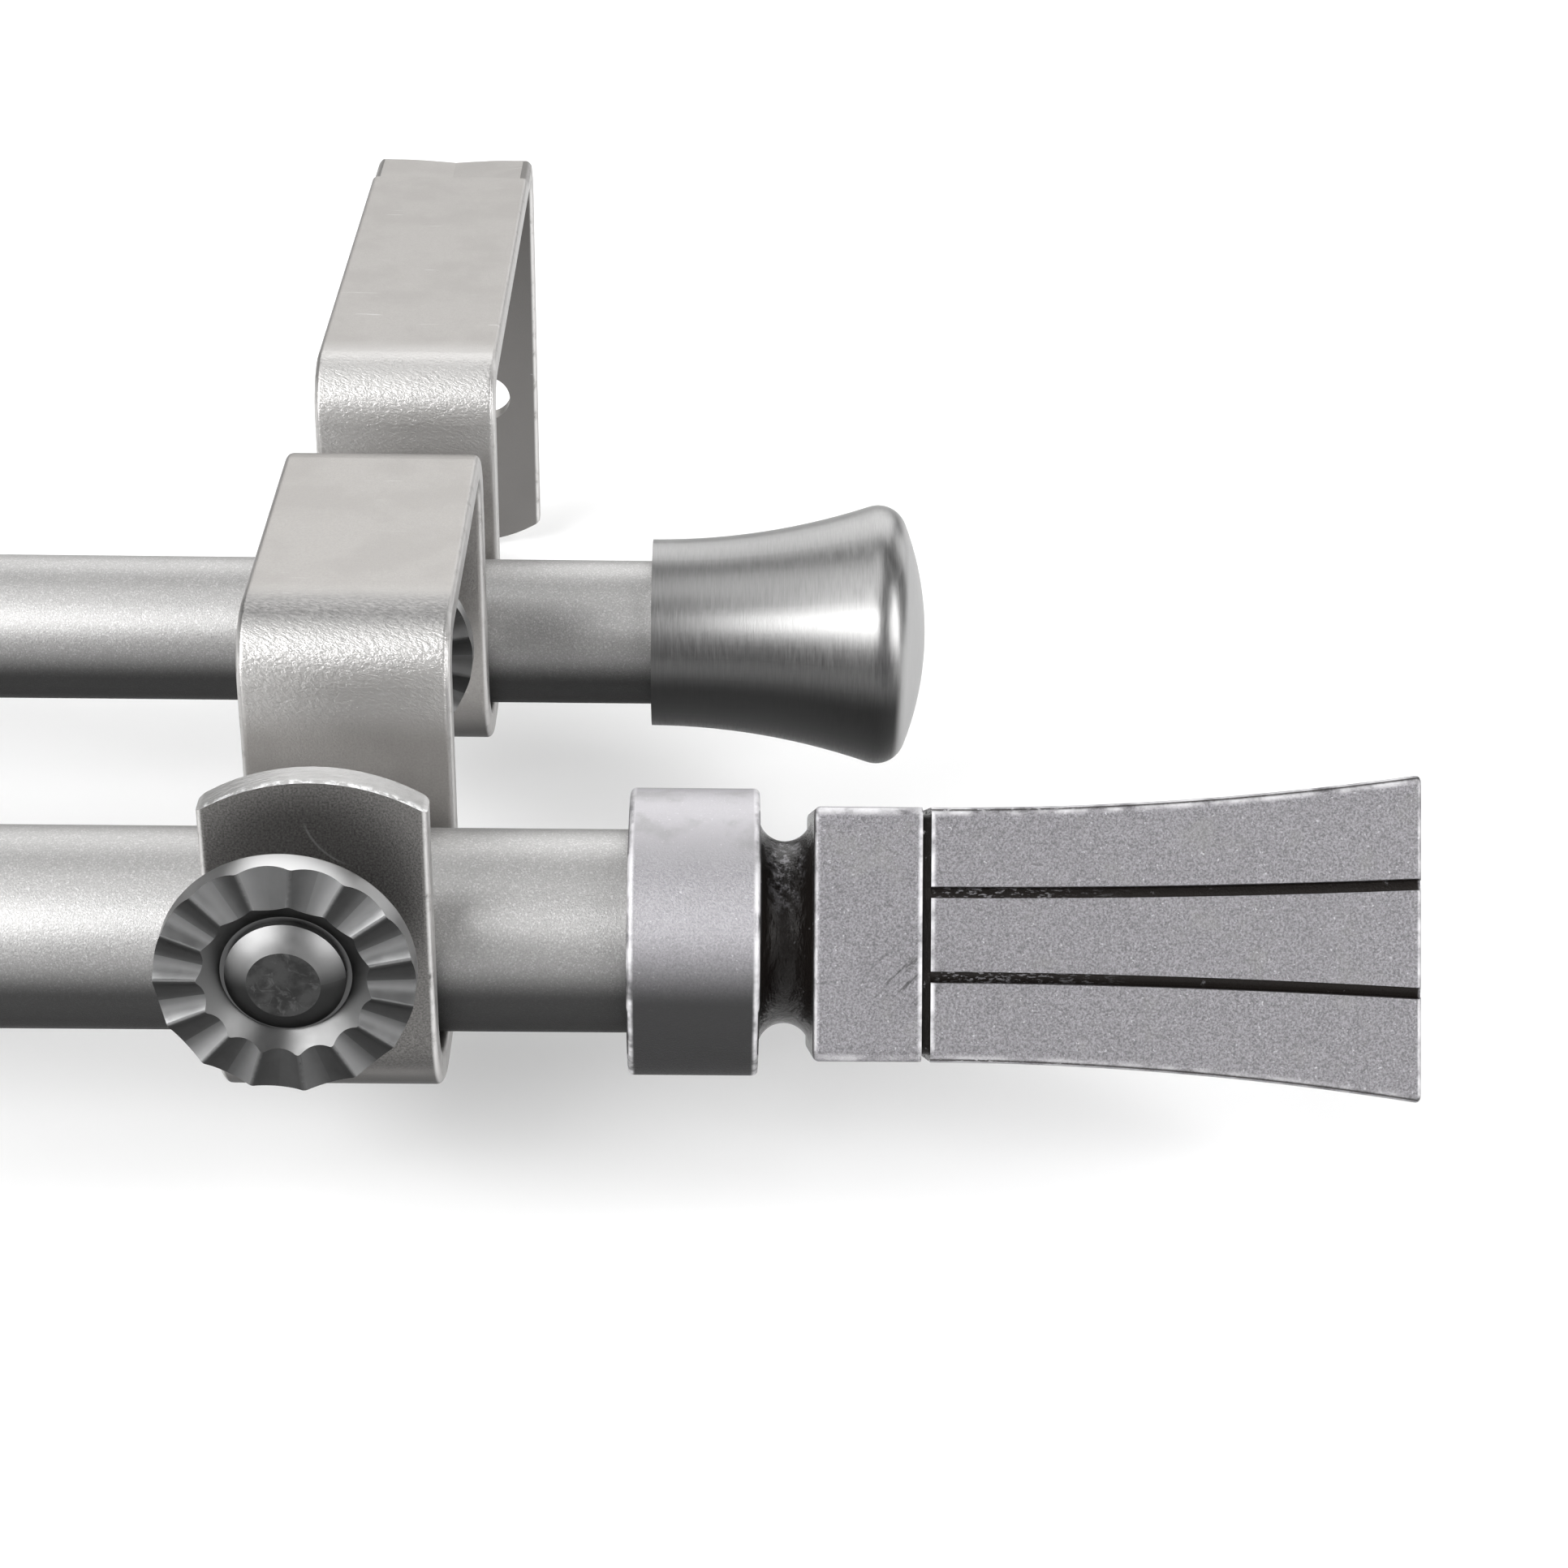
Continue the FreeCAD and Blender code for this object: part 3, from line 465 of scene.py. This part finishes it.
def finial_black(look, at):
    """The black in the score line, the grooves and the neck, missing in patches and dashes through wear,
    and lifted on top of the neck for a mottled painted highlight.
    """
    groove = look.times(
        look.step(at.depth, 0.06, 0.25),
        look.between(at.along, FLARE_START - 1.0, FLARE_START - 0.7, FLARE_END - 0.3, FLARE_END),
    )
    patches = look.times(look.step(look.noise(look.at, 0.9, 3.0, 0.6), 0.66, 0.74), 0.45)
    dashes = look.times(
        look.step(look.noise(look.stretched((0.7, 2.2, 2.2)), 1.9, 3.0, 0.6), 0.54, 0.61),
        look.between(at.along, FLARE_START, FLARE_START + 1.5, FLARE_START + 4.0, FLARE_START + 20.0),
        0.75,
    )
    # painted highlight: a mottled pale patch on top of the neck
    wear_and_highlight = look.times(
        look.step(look.parts(look.normal)[2], 0.55, 0.95),
        look.step(look.noise(look.at, 1.1, 4.0, 0.7), 0.46, 0.66),
        at.on_neck,
        0.7,
    )
    worn_and_highlit = look.most(patches, dashes, wear_and_highlight)
    return look.times(look.most(groove, at.on_neck), look.minus(1.0, worn_and_highlit))


def pewter_paint(look, at, fine):
    """The lacquer on the collar and the flat faces, with its scratches, a painted highlight on top of the
    collar and painted shade on its underside.
    """
    share = look.spread(fine, 0.38, 0.62)
    rise = look.parts(look.normal)[2]
    flat = look.mix(share, *PEWTER_FLAT)
    collar = look.mix(share, *PEWTER_COLLAR)
    # painted highlight: the collar lighter on top
    collar = look.mix(look.step(rise, 0.80, 0.98), collar, PEWTER_TOP_HIGHLIGHT)
    colour = look.mix(look.step(at.along, COLLAR_END, BLOCK_START - 0.2), collar, flat)
    speck = look.step(look.noise(look.at, 3.0, 2.0, 0.6), 0.64, 0.76)
    colour = look.mix(look.times(speck, 0.45), colour, PEWTER_SPECK)
    cloud = look.step(look.noise(look.at, 0.22, 3.0, 0.6), 0.55, 0.72)
    colour = look.mix(look.times(cloud, 0.30), colour, PEWTER_CLOUD)
    # slanted scratches by the score line
    skew = look.join(look.plus(at.along, at.flat_z), look.minus(at.along, at.flat_z))
    marks = look.noise(look.vector("MULTIPLY", skew, (0.16, 1.1, 1.0)), 1.0, 4.0, 0.65)
    from_score = look.length(look.minus(at.along, SCRATCHES_ALONG), look.minus(at.flat_z, SCRATCHES_UP))
    marks = look.times(look.step(marks, 0.50, 0.66), look.step(from_score, 5.0, 1.0), 0.75)
    colour = look.mix(marks, colour, grey(0.05))
    # painted shade: the faces that look down darkened
    flat_shade = look.times(look.underside(-0.98, -0.55), 0.7)
    on_collar = look.step(at.along, COLLAR_END + 2.5, COLLAR_END)
    collar_shade = look.times(look.underside(0.02, 0.56), on_collar, 0.96)
    return look.mix(look.most(flat_shade, collar_shade), colour, grey(0.03))


def finial_edge_wear_and_highlight(look, at):
    """Pale metal on the block's corners and on the turned and cut edges, partly wear and partly painted
    highlight, the corners stronger toward the top.
    """
    other = look.least(look.size(at.flat_y), look.size(at.flat_z))
    # painted highlight, partly wear: the block's corners, stronger toward the top
    corner = look.times(
        look.step(look.minus(at.face, other), 0.95, 0.35),
        look.step(at.along, BLOCK_START - 0.5, BLOCK_START),
        look.spread(at.up, -8.0, 4.0, 0.20, 1.0),
    )
    rings = (0.2, COLLAR_END - 0.2, BLOCK_START - 0.2, FLARE_START - 0.8, FLARE_START, FLARE_END)
    ring = look.step(look.least(*[look.gap(at.along, place) for place in rings]), 0.5, 0.15)
    flank = look.step(look.size(look.parts(look.normal)[0]), 0.85, 0.6)
    border = look.most(flank, look.step(at.depth, 0.5, 0.2))
    patches = look.step(look.noise(look.at, 0.35, 3.0, 0.6), 0.30, 0.62)
    return look.times(look.most(corner, look.times(ring, border)), patches)


def cap_look():
    """Turned nickel, brushed round the cap, with painted shade underneath and toward its narrow end, and a
    painted highlight where it faces along the pole, on its domed end.
    """
    look = Look("cap_nickel", tint=0.75)
    sideways = look.size(look.parts(look.normal)[0])
    along = look.minus(look.size(look.parts(look.at)[0]), CAP_START)
    rings = look.noise(look.stretched((1.0, 0.06, 0.06)), 7.0, 2.0, 0.6)
    broken = look.noise(look.stretched((1.0, 0.16, 0.16)), 3.0)
    both = look.plus(look.times(rings, 0.7), look.times(broken, 0.3))
    colour = look.mix(look.spread(both, 0.35, 0.65), grey(0.26, 0.005), grey(0.33, 0.005))
    # painted shade: the underside darkened
    low = look.times(look.underside(-0.20, 0.44), look.step(sideways, 0.75, 0.45), 0.94)
    colour = look.mix(low, colour, grey(0.02))
    # painted shade: darker toward the narrow end
    colour = look.mix(look.times(look.step(along, *CAP_SHADE), 0.24), colour, grey(0.08))
    # painted highlight: lighter where it faces along the pole, on the domed end
    colour = look.mix(look.times(look.step(sideways, 0.55, 0.90), 0.7), colour, grey(0.52))
    look.set(Base_Color=colour, Metallic=0.95)
    look.set(Roughness=look.spread(both, 0.35, 0.65, 0.32, 0.40))
    look.set(Normal=look.bump(rings, 0.000005))
    return look.material


def knob_look(place):
    """Dark polished nickel with painted light and shade by the world's up, so it holds at any turn of the
    screw: what looks down stays dark, what looks up is lighter, and a painted highlight runs along the
    outer ridge.
    """
    look = Look("knob_gunmetal_" + place)
    smudge = look.noise(look.at, 0.5, 3.0, 0.6)
    rise = look.parts(look.world_normal)[2]
    nx, ny, nz = look.parts(look.normal)
    x, _, z = look.parts(look.at)
    axis = middle("knob_" + place)
    # positive on surfaces that look away from the knob's own axis
    outward = look.plus(look.times(look.minus(x, axis.x), nx), look.times(look.minus(z, axis.z), nz))
    outer = look.step(outward, 0.5, 3.0)
    inner = look.step(outward, -1.0, -3.0)
    face = look.step(ny, -0.20, -0.45)
    # painted shade and light: the dark is for what looks down and the light for what looks up; on the
    # recess slopes that face the knob's axis both are evened out to a middle grey
    dark = look.mix(inner, look.mix(smudge, grey(0.030), grey(0.050)), grey(0.10))
    light = look.mix(smudge, grey(0.30, -0.005), grey(0.38, -0.005))
    light = look.mix(inner, light, grey(0.12))
    # painted light and shade by the world's up across the flutes
    flutes = look.mix(look.step(rise, -0.16, 0.56), dark, light)
    rim = look.mix(smudge, grey(0.50), grey(0.60))
    # painted shade: the rim dark where it looks down
    rim = look.mix(look.step(rise, -0.75, 0.0), grey(0.05), rim)
    colour = look.mix(face, rim, flutes)
    # painted highlight along the outer ridge, where it looks up
    crest_highlight = look.times(outer, look.step(ny, -0.80, -0.62), face, look.step(rise, -0.35, 0.1))
    look.set(Base_Color=look.mix(crest_highlight, colour, grey(0.85)), Metallic=1.0)
    look.set(Roughness=look.spread(smudge, 0.3, 0.7, 0.30, 0.38))
    return look.material


def screw_look():
    """Nickel screw with a domed head; the flat top is darker as painted shade and scuffed, and the
    shoulder is painted darker where it looks down.
    """
    look = Look("screw_steel")
    smudge = look.noise(look.at, 0.6, 3.0, 0.6)
    rise = look.parts(look.world_normal)[2]
    flat = look.step(look.parts(look.normal)[1], -0.90, -0.99)
    scuff = look.step(look.noise(look.at, 0.5, 4.0, 0.65, 1.8), 0.54, 0.66)
    # painted shade: the flat top's dark, with scuffs
    dark = look.mix(look.step(smudge, 0.35, 0.65), grey(0.030), grey(0.055))
    dark = look.mix(look.times(scuff, 0.22), dark, grey(0.16))
    shoulder = look.mix(smudge, grey(0.18), grey(0.23))
    # painted shade: the shoulder darkened where it looks down
    shoulder = look.mix(look.step(rise, 0.42, -0.10), shoulder, grey(0.030))
    look.set(Base_Color=look.mix(flat, shoulder, dark), Metallic=1.0)
    look.set(Roughness=look.spread(smudge, 0.3, 0.7, 0.36, 0.46))
    return look.material


def reducer_look():
    """Pale matte plastic."""
    look = Look("reducer_plastic")
    grain = look.noise(look.at, 3.0)
    look.set(Base_Color=look.mix(grain, grey(0.62, 0.01), grey(0.70, 0.01)))
    look.set(Roughness=look.spread(grain, 0.3, 0.7, 0.45, 0.6))
    look.set(Normal=look.bump(grain, 0.00003))
    return look.material


# A node takes the first look whose key is in its name, leaving out _outer and _inner
LOOKS = {
    "bracket": strap_look(),
    "front_tube": pole_look("pole_nickel_front", -0.20, 0.50),
    "back_tube": pole_look("pole_nickel_back", -0.34, 0.42),
    "end_cap": cap_look(),
    "screw": screw_look(),
    "reducer": reducer_look(),
    "finial_right": finial_look("right", 1.0),
    "finial_left": finial_look("left", -1.0),
}
for place in ("front_right", "front_left", "back_right", "back_left"):
    LOOKS["knob_" + place] = knob_look(place)


def dress(name, node):
    family = name.replace("_outer", "").replace("_inner", "")
    for part in LOOKS:
        if part in family:
            for material_slot in node.material_slots:
                material_slot.material = LOOKS[part]
            return
    raise ValueError("no look for " + name)


def make_camera():
    """The camera at the photograph's viewing angle."""
    pitch, yaw, roll = (math.radians(a) for a in (CAMERA_PITCH, CAMERA_YAW, CAMERA_ROLL))
    level = Vector((math.sin(yaw), math.cos(yaw), 0))
    forward = level * math.cos(pitch) - Vector((0, 0, math.sin(pitch)))
    right = Vector((math.cos(yaw), -math.sin(yaw), 0))
    up = right.cross(forward)
    right_rolled = math.cos(roll) * right + math.sin(roll) * up
    up_rolled = math.cos(roll) * up - math.sin(roll) * right
    data = bpy.data.cameras.new("camera")
    data.sensor_width = SENSOR_WIDTH
    data.lens = CAMERA_FOCAL / PHOTO_WIDTH * SENSOR_WIDTH
    data.clip_start = 0.02
    data.clip_end = 20
    camera = bpy.data.objects.new("camera", data)
    bpy.context.scene.collection.objects.link(camera)
    turn = Matrix((right_rolled, up_rolled, -forward)).transposed()
    place = Vector(CAMERA_PLACE) + Vector((BRACKET_X, 0, POLE_Z)) / MM
    camera.matrix_world = Matrix.Translation(place) @ turn.to_4x4()
    bpy.context.scene.camera = camera


def make_floor():
    """A plain pale floor just under the part."""
    data = bpy.data.meshes.new("floor")
    height = cad_box[0][2] - FLOOR_BELOW
    around = ((-1, -1), (1, -1), (1, 1), (-1, 1))
    data.from_pydata([(x * FLOOR_HALF, y * FLOOR_HALF, height) for x, y in around], [], [(0, 1, 2, 3)])
    floor = bpy.data.objects.new("floor", data)
    bpy.context.scene.collection.objects.link(floor)
    look = Look("floor_white")
    look.set(Base_Color=grey(0.92), Roughness=0.9)
    rays = look.tree.nodes.new("ShaderNodeLightPath").outputs
    seen = look.most(rays["Is Camera Ray"], rays["Is Glossy Ray"], rays["Is Transmission Ray"])
    look.set(Emission_Color=grey(1), Emission_Strength=look.times(seen, FLOOR_GLOW))
    look.set(Specular_IOR_Level=0.1)
    data.materials.append(look.material)


def make_lamp(name, place, target, size, power):
    data = bpy.data.lights.new(name, "AREA")
    data.shape = "RECTANGLE"
    data.size, data.size_y = size
    data.energy = power
    lamp = bpy.data.objects.new(name, data)
    bpy.context.scene.collection.objects.link(lamp)
    lamp.location = place
    lamp.rotation_mode = "QUATERNION"
    lamp.rotation_quaternion = (Vector(target) - Vector(place)).to_track_quat("-Z", "Y")


def make_world(light):
    world = bpy.data.worlds.new("studio")
    bpy.context.scene.world = world
    world.use_nodes = True
    background = world.node_tree.nodes["Background"]
    background.inputs[0].default_value = grey(1)
    background.inputs[1].default_value = light


for name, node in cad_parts.items():
    dress(name, node)
make_camera()
make_floor()
for name, settings in LAMPS.items():
    make_lamp(name, *settings)
make_world(WORLD_LIGHT)
bpy.context.scene.view_settings.view_transform = "Standard"
